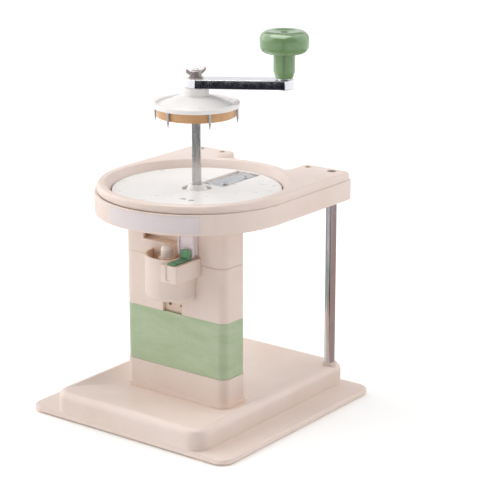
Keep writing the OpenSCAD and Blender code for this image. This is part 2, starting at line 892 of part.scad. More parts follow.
module lift_post() {
    wide_z = rim_cup_z + table_drop + 2 * slide_fit;
    top = table_z - table_t;
    foot_x0 = channel_in_x + 2 * slide_fit;
    foot_w = channel_in_w - 4 * slide_fit;
    color([0.93, 0.91, 0.94])
    difference() {
        union() {
            translate([post_x1 - post_w, post_y0, wide_z])
                cube([post_w, post_d, top - wide_z]);
            // Foot with a slanted end on the wedge
            translate([foot_x0, 0, 0])
                rotate([90, 0, 90])
                    linear_extrude(foot_w)
                        polygon([
                            [post_y0, ramp_z - slope * (post_y0 - upright_y1) + slide_fit],
                            [post_y1, ramp_z - slope * (post_y1 - upright_y1) + slide_fit],
                            [post_y1, wide_z + eps],
                            [post_y0, wide_z + eps]
                        ]);
        }
        // Grooves along the side and the front
        translate([post_x1 - post_groove / 2, post_y0 + post_d / 2 - post_groove / 2, wide_z])
            cube([post_groove, post_groove, head_top_z - wide_z]);
        translate([post_x1 - post_w + post_groove, post_y0 - eps, wide_z])
            cube([post_groove / 2, post_groove / 2, head_top_z - wide_z]);
        // Holes of the table's screws
        for (x = [1, 3])
            translate([post_x1 - post_w + x * post_w / 4, post_y0 + post_d / 2, top - small_screw_in])
                cylinder(d = small_screw_d + 2 * screw_fit, h = small_screw_in + eps);
    }
}

module release_button() {
    low = cup_z + cup_wall + button_travel + slide_fit;
    color([0.95, 0.94, 0.93])
    translate([0, button_y, low])
        rotate_extrude()
            edge_profile(button_d / 2, button_top - low, (button_d - button_flat) / 2);
}

module deck_skirt() {
    post_mid_y = post_y0 + post_d / 2;
    color([0.89, 0.81, 0.76])
    difference() {
        union() {
            difference() {
                translate([0, 0, skirt_z])
                    linear_extrude(skirt_h)
                        deck_plan(0);
                // Hollow above and below the floor
                translate([0, 0, deck_floor_z])
                    linear_extrude(skirt_h)
                        deck_plan(skirt_wall);
                translate([0, 0, skirt_z - eps])
                    linear_extrude(under_h + eps)
                        deck_plan(skirt_wall);
            }
            // Well around the table
            translate([0, axis_y, head_top_z])
                difference() {
                    cylinder(r = well_r + well_wall, h = tier_z - head_top_z, $fn = 128);
                    translate([0, 0, -eps])
                        cylinder(r = well_r, h = skirt_h + 2 * eps, $fn = 128);
                }
            // Hub
            translate([0, axis_y, head_top_z])
                cylinder(d = hub_d, h = hub_top_z - head_top_z);
            both_sides() {
                translate([rod_x, rod_y, skirt_z])
                    cylinder(d = rod_post_d, h = skirt_h);
                translate([tab_screw_x, rod_y, head_top_z])
                    cylinder(d = small_boss_d, h = tier_z - head_top_z);
                translate([tie_x, col_y, head_top_z])
                    cylinder(d = tie_boss_d, h = boss_top_z - head_top_z);
                translate([pin_x, axis_y, head_top_z])
                    cylinder(d = pin_boss_d, h = boss_top_z - head_top_z);
            }
        }
        // Bore of the turning bush
        translate([0, axis_y, head_top_z - eps])
            cylinder(d = bush_d + 2 * run_fit, h = skirt_h);
        // Way of the lifting post
        translate([post_x1 - post_w - slide_fit, post_y0 - slide_fit, skirt_z])
            cube([post_w + 2 * slide_fit, post_d + 2 * slide_fit, skirt_h]);
        // Chute below the throat
        translate([slot_x0, blade_y - blade_gap, skirt_z])
            cube([bed_x0 - slot_x0, blade_l + 2 * blade_gap, deck_floor_z - skirt_z + eps]);
        both_sides() {
            translate([rod_x, rod_y, skirt_z - eps])
                cylinder(d = rod_d + 2 * screw_fit, h = rod_top_z - skirt_z + eps);
            translate([rod_x, rod_y, skirt_z])
                cylinder(d = rod_screw_d + 2 * screw_fit, h = skirt_h + eps);
            translate([tab_screw_x, rod_y, tier_z - small_screw_in - slide_fit])
                cylinder(d = small_screw_d + 2 * screw_fit, h = small_screw_in + hole_end);
            translate([tie_x, col_y, head_top_z - eps])
                cylinder(d = tie_d + 2 * screw_fit, h = tie_in + slide_fit);
            translate([pin_x, axis_y, head_top_z - eps])
                cylinder(d = pin_d + 2 * run_fit, h = skirt_h);
        }
    }
}

// Section of what is cut away to round the upper tier's edge at a radius
module edge_waste(r) {
    translate([r - top_edge_r, top_h - top_edge_r])
        difference() {
            square(2 * top_edge_r);
            circle(top_edge_r);
        }
}

// The same around an axis, from a direction and over an angle
module round_waste(p, r, from, turn) {
    translate(p)
        rotate([0, 0, from])
            rotate_extrude(angle = turn)
                edge_waste(r);
}

// The same along a straight edge to the right of the way from one point to another
module side_waste(p, q) {
    translate(p)
        rotate([0, 0, atan2(q[1] - p[1], q[0] - p[0])])
            rotate([90, 0, 90])
                linear_extrude(norm(q - p))
                    mirror([1, 0])
                        edge_waste(tab_top_r);
}

module deck_top() {
    seat_z = top_z - rod_head_drop - rod_head_h;
    small_seat_z = top_z - small_head_drop - small_head_h;
    in_x = tab_in + deck_r - top_r;
    back_y = tab_back - tab_step;
    outer = [top_r - tab_top_r, back_y - tab_top_r];
    inner = [in_x + tab_top_r, back_y - tab_top_r];
    // Where the rounding of a tab's inner edge and of the round back end, short of each other
    inner_end = [inner[0], axis_y + sqrt(deck_r * deck_r - in_x * in_x) + edge_stop];
    back_x = in_x - edge_stop;
    color([0.91, 0.83, 0.79])
    translate([0, 0, tier_z])
    difference() {
        linear_extrude(top_h) {
            intersection() {
                translate([0, top_y])
                    circle(top_r);
                translate([0, axis_y])
                    circle(deck_r);
            }
            both_sides()
                tab_plan(in_x, top_r, top_y, back_y, tab_top_r);
        }
        // Round edge at the front, at the back and around the tabs
        round_waste([0, top_y], top_r, 180, 180);
        intersection() {
            round_waste([0, axis_y], deck_r, 0, 360);
            translate([-back_x, axis_y, 0])
                cube([2 * back_x, 2 * deck_r, 2 * top_h]);
        }
        both_sides() {
            side_waste([outer[0], top_y], outer);
            round_waste(outer, tab_top_r, 0, 90);
            side_waste(outer, inner);
            round_waste(inner, tab_top_r, 90, 90);
            side_waste(inner, inner_end);
        }
        // Recess around the table
        translate([0, axis_y, 0])
            cylinder(r1 = well_r, r2 = recess_r, h = top_h + eps, $fn = 144);
        translate([0, axis_y, -eps])
            cylinder(r = well_r, h = top_h, $fn = 144);
        both_sides() {
            translate([rod_x, rod_y, seat_z - tier_z])
                cylinder(d = rod_head_d + 2 * slide_fit, h = top_h);
            translate([rod_x, rod_y, -eps])
                cylinder(d = rod_screw_d + 2 * screw_fit, h = top_h);
            translate([tab_screw_x, rod_y, small_seat_z - tier_z])
                cylinder(d = small_head_d + 2 * slide_fit, h = top_h);
            translate([tab_screw_x, rod_y, -eps])
                cylinder(d = small_screw_d + 2 * screw_fit, h = top_h);
        }
    }
}

module deck_screws() {
    small_seat_z = top_z - small_head_drop - small_head_h;
    color([0.45, 0.45, 0.46])
    both_sides()
        translate([tab_screw_x, rod_y, small_seat_z])
            screw(small_screw_d, small_seat_z - tier_z + small_screw_in, small_head_d, small_head_h);
}

// Rear rod with a threaded hole in each end
module rear_rod() {
    translate([rod_x, rod_y, rod_foot_z])
        difference() {
            cylinder(d = rod_d, h = rod_top_z - rod_foot_z);
            translate([0, 0, -eps])
                cylinder(d = rod_screw_d + 2 * screw_fit, h = rod_screw_in + hole_end);
            translate([0, 0, rod_top_z - rod_foot_z - rod_screw_in - hole_end])
                cylinder(d = rod_screw_d + 2 * screw_fit, h = rod_screw_in + 2 * hole_end);
        }
}

module rear_rod_right() {
    color([0.70, 0.71, 0.75])
    rear_rod();
}

module rear_rod_left() {
    color([0.70, 0.71, 0.75])
    mirror([1, 0, 0])
        rear_rod();
}

module rod_top_screws() {
    seat_z = top_z - rod_head_drop - rod_head_h;
    color([0.35, 0.35, 0.36])
    both_sides()
        translate([rod_x, rod_y, seat_z])
            screw(rod_screw_d, seat_z - rod_top_z + rod_screw_in, rod_head_d, rod_head_h);
}

module rod_foot_screws() {
    seat_z = foot_h + base_wall;
    color([0.60, 0.60, 0.62])
    both_sides()
        translate([rod_x, rod_y, seat_z])
            rotate([180, 0, 0])
                screw(rod_screw_d, rod_foot_z - seat_z + rod_screw_in, rod_head_d, base_wall - eps);
}

module tie_rods() {
    low = floor_z - base_wall - tie_nut_h - tie_out;
    color([0.62, 0.62, 0.64])
    both_sides()
        translate([tie_x, col_y, low])
            cylinder(d = tie_d, h = head_top_z + tie_in - low);
}

module tie_nuts() {
    color([0.62, 0.62, 0.64])
    both_sides()
        translate([tie_x, col_y, floor_z - base_wall - tie_nut_h])
            difference() {
                cylinder(d = tie_nut_d, h = tie_nut_h, $fn = 6);
                translate([0, 0, -eps])
                    cylinder(d = tie_d + 2 * screw_fit, h = tie_nut_h + 2 * eps);
            }
}

module cutting_table() {
    low = table_z - table_t;
    color([0.93, 0.92, 0.90])
    difference() {
        translate([0, axis_y, low])
            rotate_extrude($fn = 144)
                edge_profile(table_r, table_t, table_t / 3);
        translate([0, axis_y, low - eps])
            cylinder(d = bush_collar_d + 2 * blade_gap, h = table_t + 2 * eps);
        // Throat and blade opening
        translate([slot_x0, blade_y - blade_gap, low - eps])
            cube([slot_x1 - slot_x0, blade_l + 2 * blade_gap, table_t + 2 * eps]);
        // Sunk holes of the screws that hold the post
        for (x = [1, 3])
            translate([post_x1 - post_w + x * post_w / 4, post_y0 + post_d / 2, low - eps]) {
                cylinder(d = small_screw_d + 2 * screw_fit, h = table_t + 2 * eps);
                translate([0, 0, table_t - small_head_h])
                    cylinder(d = small_head_d + 2 * screw_fit, h = table_t);
            }
    }
}

module table_pins() {
    color([0.70, 0.71, 0.73])
    both_sides()
        translate([pin_x, axis_y, table_z - table_t - pin_l])
            cylinder(d = pin_d, h = pin_l);
}

module table_screws() {
    seat_z = table_z - small_head_h;
    color([0.60, 0.61, 0.63])
    for (x = [1, 3])
        translate([post_x1 - post_w + x * post_w / 4, post_y0 + post_d / 2, seat_z])
            screw(small_screw_d, table_t - small_head_h + small_screw_in - slide_fit, small_head_d,
                small_head_h - eps);
}

// Places the blade's own frame: X along its width from the cutting edge, Z square to its upper face
module at_blade() {
    translate([-blade_left, blade_y, edge_z])
        rotate([0, blade_tilt, 0])
            children();
}

module blade() {
    color([0.83, 0.84, 0.86])
    at_blade()
        difference() {
            translate([0, blade_l, 0])
                rotate([90, 0, 0])
                    linear_extrude(blade_l)
                        polygon([[0, 0], [bevel_l, -blade_t], [blade_w, -blade_t], [blade_w, 0]]);
            for (y = [blade_screw_in, blade_l - blade_screw_in])
                translate([(blade_w + bevel_l) / 2, y, -blade_t - eps])
                    cylinder(d = small_screw_d + 2 * screw_fit, h = blade_t + 2 * eps);
        }
}

module blade_bed() {
    color([0.88, 0.80, 0.75])
    difference() {
        intersection() {
            translate([bed_x0, blade_y, deck_floor_z])
                cube([blade_w - blade_left - bed_x0, blade_l, skirt_h]);
            at_blade()
                translate([-blade_w, -eps, -2 * skirt_h - blade_t])
                    cube([3 * blade_w, blade_l + 2 * eps, 2 * skirt_h]);
        }
        at_blade()
            for (y = [blade_screw_in, blade_l - blade_screw_in])
                translate([(blade_w + bevel_l) / 2, y, -blade_t - small_screw_in])
                    cylinder(d = small_screw_d + 2 * screw_fit, h = small_screw_in + eps);
    }
}

module blade_screws() {
    color([0.60, 0.61, 0.63])
    at_blade()
        for (y = [blade_screw_in, blade_l - blade_screw_in])
            translate([(blade_w + bevel_l) / 2, y, 0])
                screw(small_screw_d, blade_t + small_screw_in - slide_fit, small_head_d, small_head_h / 2);
}

module shaft_bush() {
    hole = shaft_w + 2 * run_fit;
    low = head_top_z + slide_fit;
    collar_z = hub_top_z + slide_fit;
    color([0.94, 0.93, 0.91])
    translate([0, axis_y, 0])
        difference() {
            union() {
                translate([0, 0, low])
                    cylinder(d = bush_d, h = collar_z - low + eps);
                translate([0, 0, collar_z])
                    cylinder(d = bush_collar_d, h = bush_collar_t);
                translate([0, 0, collar_z + bush_collar_t - eps])
                    cylinder(d1 = bush_d, d2 = bush_tip_d, h = bush_nose_h);
            }
            rotate([0, 0, arm_a])
                translate([-hole / 2, -hole / 2, low - eps])
                    cube([hole, hole, skirt_h + bush_nose_h]);
        }
}

module crank_shaft() {
    low = head_top_z - shaft_tail;
    color([0.72, 0.73, 0.75])
    translate([0, axis_y, 0])
        rotate([0, 0, arm_a]) {
            translate([-shaft_w / 2, -shaft_w / 2, low])
                cube([shaft_w, shaft_w, arm_top_z - slide_fit - low]);
            translate([0, 0, arm_top_z - 2 * slide_fit])
                cylinder(d = stub_d, h = stub_h + 2 * slide_fit);
        }
}

module press_disc() {
    hole = shaft_w + 2 * screw_fit;
    dome_r = ring_r - ring_wall;
    dome_arc = (pow(dome_r, 2) + pow(dome_h, 2)) / (2 * dome_h);
    color([0.95, 0.95, 0.95])
    translate([0, axis_y, disc_z])
        difference() {
            union() {
                // Flat ring and dome
                rotate_extrude($fn = 128) {
                    translate([dome_r - disc_t / 2, 0])
                        square([disc_r - disc_rim_t / 2 - dome_r + disc_t / 2, disc_t]);
                    intersection() {
                        translate([0, disc_t + dome_h - dome_arc])
                            difference() {
                                circle(dome_arc);
                                circle(dome_arc - disc_t);
                            }
                        square([dome_r, disc_t + dome_h]);
                    }
                }
                rotate_extrude($fn = 128)
                    translate([disc_r - disc_rim_t, 0]) {
                        square([disc_rim_t, disc_rim_h - disc_rim_t / 2]);
                        translate([disc_rim_t / 2, disc_rim_h - disc_rim_t / 2])
                            circle(d = disc_rim_t);
                    }
                cylinder(d = boss_d, h = boss_h);
            }
            rotate([0, 0, arm_a])
                translate([-hole / 2, -hole / 2, -eps])
                    cube([hole, hole, boss_h + 2 * eps]);
        }
}

module grip_ring() {
    color([0.88, 0.78, 0.70])
    translate([0, axis_y, disc_z - ring_h])
        difference() {
            cylinder(r = ring_r, h = ring_h, $fn = 128);
            translate([0, 0, -eps])
                cylinder(r = ring_r - ring_wall, h = ring_h + 2 * eps, $fn = 128);
        }
}

module grip_spikes() {
    spike_r = disc_r - spike_d / 2 - spike_in;
    color([0.85, 0.85, 0.86])
    translate([0, axis_y, disc_z])
        for (i = [0 : spike_n - 1])
            rotate([0, 0, spike_a + i * 360 / spike_n])
                translate([spike_r, 0, -spike_l]) {
                    translate([0, 0, spike_tip])
                        cylinder(d = spike_d, h = spike_l - spike_tip);
                    cylinder(d1 = spike_d / 5, d2 = spike_d, h = spike_tip);
                }
}

module crank_arm() {
    hole = shaft_w + 2 * screw_fit;
    color([0.55, 0.56, 0.60])
    translate([0, axis_y, arm_z])
        rotate([0, 0, arm_a])
            linear_extrude(arm_t)
                difference() {
                    union() {
                        circle(d = arm_w);
                        translate([arm_l, 0])
                            circle(d = arm_w);
                        translate([0, -arm_w / 2])
                            square([arm_l, arm_w]);
                    }
                    square(hole, center = true);
                    translate([arm_l, 0])
                        circle(d = rivet_d + 2 * screw_fit);
                }
}

module arm_washer() {
    color([0.78, 0.79, 0.80])
    translate([0, axis_y, arm_top_z])
        difference() {
            cylinder(d = washer_d, h = washer_t);
            translate([0, 0, -eps])
                cylinder(d = stub_d + 2 * screw_fit, h = washer_t + 2 * eps);
        }
}

module wing_nut() {
    tip_r = wing_h / 3;
    color([0.76, 0.77, 0.78])
    translate([0, axis_y, arm_top_z + washer_t])
        rotate([0, 0, arm_a + 45])
            difference() {
                union() {
                    cylinder(d1 = nut_d, d2 = nut_d - wing_t, h = nut_h);
                    translate([0, wing_t / 2, 0])
                        rotate([90, 0, 0])
                            linear_extrude(wing_t)
                                both_sides() {
                                    polygon([
                                        [0, wing_t / 2],
                                        [nut_d / 2, wing_t / 2],
                                        [wing_span / 2 - tip_r / 2, wing_h - 2 * tip_r],
                                        [wing_span / 2 - 2 * tip_r, wing_h - tip_r],
                                        [0, nut_h - wing_t / 2]
                                    ]);
                                    translate([wing_span / 2 - tip_r, wing_h - tip_r])
                                        circle(tip_r);
                                }
                }
                translate([0, 0, -eps])
                    cylinder(d = stub_d + 2 * screw_fit, h = wing_h + 2 * eps);
            }
}

// Place of the knob's axis on the arm
module at_knob() {
    translate([0, axis_y, 0])
        rotate([0, 0, arm_a])
            translate([arm_l, 0, 0])
                children();
}

module knob_pin() {
    color([0.78, 0.79, 0.81])
    at_knob() {
        translate([0, 0, arm_z - rivet_head_t])
            cylinder(d = rivet_head_d, h = rivet_head_t);
        translate([0, 0, arm_z - eps])
            cylinder(d = rivet_d, h = arm_t + 2 * eps);
        translate([0, 0, arm_top_z])
            cylinder(d = rivet_head_d, h = rivet_head_t);
        translate([0, 0, arm_top_z])
            cylinder(d = knob_pin_d, h = rivet_head_t + knob_pin_l);
    }
}

module knob() {
    cap_z = stem_h;
    dish_r = (pow(cap_dish_d / 2, 2) + pow(cap_dish, 2)) / (2 * cap_dish);
    color([0.55, 0.70, 0.47])
    at_knob()
        translate([0, 0, knob_z])
            difference() {
                rotate_extrude()
                    union() {
                        // Stem with a tapered lower part
                        polygon([[0, 0], [stem_low_r, 0], [stem_r, stem_taper], [stem_r, stem_h + cap_low_r],
                            [0, stem_h + cap_low_r]]);
                        // Cap with round edges
                        translate([0, cap_z]) {
                            square([cap_r - cap_low_r, cap_h / 2]);
                            square([cap_r - cap_top_r, cap_h]);
                            translate([0, cap_low_r])
                                square([cap_r, cap_h - cap_low_r - cap_top_r]);
                            translate([cap_r - cap_low_r, cap_low_r])
                                circle(cap_low_r);
                            translate([cap_r - cap_top_r, cap_h - cap_top_r])
                                circle(cap_top_r);
                        }
                    }
                // Hollow and dimple in the cap's top
                translate([0, 0, cap_z + cap_h - cap_dish + dish_r])
                    sphere(dish_r);
                translate([0, 0, cap_z + cap_h - cap_dish])
                    sphere(d = dimple_d);
                // Bore for the pin
                translate([0, 0, -eps])
                    cylinder(d = knob_pin_d + 2 * run_fit, h = knob_pin_l + hole_end);
            }
}

base_tray();
rubber_feet();
column_low();
column_mid();
column_head();
notch_plate();
cup_housing();
cup_screws();
lift_slider();
lift_post();
release_button();
deck_skirt();
deck_top();
deck_screws();
rear_rod_right();
rear_rod_left();
rod_top_screws();
rod_foot_screws();
tie_rods();
tie_nuts();
cutting_table();
table_pins();
table_screws();
blade();
blade_bed();
blade_screws();
shaft_bush();
crank_shaft();
press_disc();
grip_ring();
grip_spikes();
crank_arm();
arm_washer();
wing_nut();
knob_pin();
knob();
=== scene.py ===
import json
import math

import bmesh
import bpy
from mathutils import Matrix, Vector


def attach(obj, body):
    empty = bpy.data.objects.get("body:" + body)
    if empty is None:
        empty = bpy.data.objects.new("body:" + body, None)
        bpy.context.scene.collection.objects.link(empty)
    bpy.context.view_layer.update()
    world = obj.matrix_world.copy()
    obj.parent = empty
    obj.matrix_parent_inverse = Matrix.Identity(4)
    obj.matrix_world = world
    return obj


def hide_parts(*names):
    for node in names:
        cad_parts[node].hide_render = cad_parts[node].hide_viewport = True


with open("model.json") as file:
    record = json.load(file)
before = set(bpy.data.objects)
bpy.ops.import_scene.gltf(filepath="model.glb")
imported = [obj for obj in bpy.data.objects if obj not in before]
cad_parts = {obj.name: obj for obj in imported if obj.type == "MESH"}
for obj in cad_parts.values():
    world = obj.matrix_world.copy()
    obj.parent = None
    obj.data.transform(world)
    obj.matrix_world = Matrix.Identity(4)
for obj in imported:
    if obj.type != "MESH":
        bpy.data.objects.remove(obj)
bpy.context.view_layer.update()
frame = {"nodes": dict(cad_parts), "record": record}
nodes = frame["nodes"]
bodyOf = {n: b for b, members in frame["record"]["behaviour"]["bodies"].items() for n in members}
bpy.ops.object.select_all(action='DESELECT')
print("frame loaded,", len(nodes), "nodes")


# white sweep, wide soft lights, the photograph's view
floorSetup = {"radius": 9.0, "inner": 2.0, "sides": 96, "drop": -0.0002, "white": (0.93, 0.93, 0.93),
              "rough": 0.7, "glow": 0.10}
worldSetup = {"colour": (1.0, 1.0, 1.0, 1.0), "strength": 0.29}
lampSetup = [
    {"name": "keyLamp", "from": (-1.90, -0.70, 1.00), "spread": 78, "power": 2.64,
     "tint": (1.0, 0.99, 0.975)},
    {"name": "fillLamp", "from": (1.30, 1.50, 1.00), "spread": 80, "power": 1.74,
     "tint": (1.0, 0.985, 0.975)},
    {"name": "lowLamp", "from": (-0.60, -1.80, 0.30), "spread": 50, "power": 0.26,
     "tint": (1.0, 0.97, 0.94)},
    {"name": "topLamp", "from": (0.10, 0.30, 2.50), "spread": 80, "power": 0.82,
     "tint": (1.0, 1.0, 1.0)},
]
cameraSetup = {"place": (0.97925, -1.22952, 0.61203), "lens": 127.82, "sensor": 36, "turn": 36.91,
               "tilt": 16.43}

# cards that only gloss sees: a grey surround, a warm side, two dark fronts, a white back, one overhead
cardSetup = [
    {"name": "surroundCard", "place": (0.02, 0.02, 0.003), "sides": 96, "size": (1.10, 1.10),
     "tip": (0, 0, 0), "grey": (0.42, 0.42, 0.44)},
    {"name": "warmCard", "place": (0.46, 0.24, 0.004), "sides": 4, "size": (0.66, 0.86),
     "tip": (0, 0, 0), "grey": (0.43, 0.293, 0.26)},
    {"name": "nearDarkCard", "place": (0.29, -0.38, 0.005), "sides": 4, "size": (0.12, 0.80),
     "tip": (0, 0, 35), "grey": (0.08, 0.07, 0.07)},
    {"name": "farDarkCard", "place": (0.86, -1.25, 0.005), "sides": 4, "size": (0.62, 1.40),
     "tip": (0, 0, 33), "grey": (0.020, 0.021, 0.028)},
    {"name": "backCard", "place": (-1.20, 1.60, 0.75), "sides": 4, "size": (2.40, 1.10),
     "tip": (90, 0, 36.9), "grey": (0.95, 0.95, 0.97)},
    {"name": "overCard", "place": (-0.15, -0.25, 1.45), "sides": 4, "size": (1.30, 1.00),
     "tip": (0, 0, 0), "grey": (6.70, 6.80, 6.20)},
]

bpy.context.scene.view_settings.view_transform = 'Standard'

bpy.ops.mesh.primitive_circle_add(
    vertices=floorSetup["sides"], radius=floorSetup["radius"], fill_type='NGON',
    location=(0, 0, floorSetup["drop"]),
)
floor = bpy.context.object
floor.name = "studioFloor"
bpy.ops.object.mode_set(mode='EDIT')
bpy.ops.mesh.inset(thickness=floorSetup["radius"] - floorSetup["inner"])
bpy.ops.object.mode_set(mode='OBJECT')
floorMat = bpy.data.materials.new("paperSweep")
floorMat.use_nodes = True
sweep = floorMat.node_tree.nodes["Principled BSDF"]
sweep.inputs["Base Color"].default_value = (*floorSetup["white"], 1)
sweep.inputs["Roughness"].default_value = floorSetup["rough"]
sweep.inputs["Emission Color"].default_value = (1, 1, 1, 1)
sweep.inputs["Emission Strength"].default_value = floorSetup["glow"]
floor.data.materials.append(floorMat)

# a circle of four sides and this radius, turned by 45 degrees, is a unit square
halfDiagonal = math.sqrt(0.5)
for card in cardSetup:
    bpy.ops.mesh.primitive_circle_add(vertices=card["sides"], radius=halfDiagonal, fill_type='NGON')
    plate = bpy.context.object
    plate.name = card["name"]
    bpy.ops.object.mode_set(mode='EDIT')
    bpy.ops.transform.rotate(value=math.radians(45), orient_axis='Z', center_override=(0, 0, 0))
    bpy.ops.object.mode_set(mode='OBJECT')
    plate.location = card["place"]
    plate.scale = (*card["size"], 1)
    plate.rotation_euler = [math.radians(t) for t in card["tip"]]
    cardMat = bpy.data.materials.new(card["name"] + "Felt")
    cardMat.use_nodes = True
    felt = cardMat.node_tree.nodes["Principled BSDF"]
    felt.inputs["Base Color"].default_value = (0, 0, 0, 1)
    felt.inputs["Specular IOR Level"].default_value = 0
    felt.inputs["Emission Color"].default_value = (*card["grey"], 1)
    felt.inputs["Emission Strength"].default_value = 1
    plate.data.materials.append(cardMat)
    plate.visible_camera = False
    plate.visible_diffuse = False
    plate.visible_shadow = False
    plate.visible_transmission = False

world = bpy.data.worlds.new("studioWorld")
world.use_nodes = True
world.node_tree.nodes["Background"].inputs["Color"].default_value = worldSetup["colour"]
world.node_tree.nodes["Background"].inputs["Strength"].default_value = worldSetup["strength"]
bpy.context.scene.world = world

for lamp in lampSetup:
    bpy.ops.object.light_add(type='SUN', location=lamp["from"])
    light = bpy.context.object
    light.name = lamp["name"]
    light.data.angle = math.radians(lamp["spread"])
    light.data.energy = lamp["power"]
    light.data.color = lamp["tint"]
    light.rotation_euler = Vector(lamp["from"]).to_track_quat('Z', 'Y').to_euler()

bpy.ops.object.camera_add(
    location=cameraSetup["place"],
    rotation=(math.radians(90 - cameraSetup["tilt"]), 0, math.radians(cameraSetup["turn"])),
)
camera = bpy.context.object
camera.data.lens = cameraSetup["lens"]
camera.data.sensor_width = cameraSetup["sensor"]
bpy.context.scene.camera = camera
bpy.ops.object.select_all(action='DESELECT')
print("stage set")


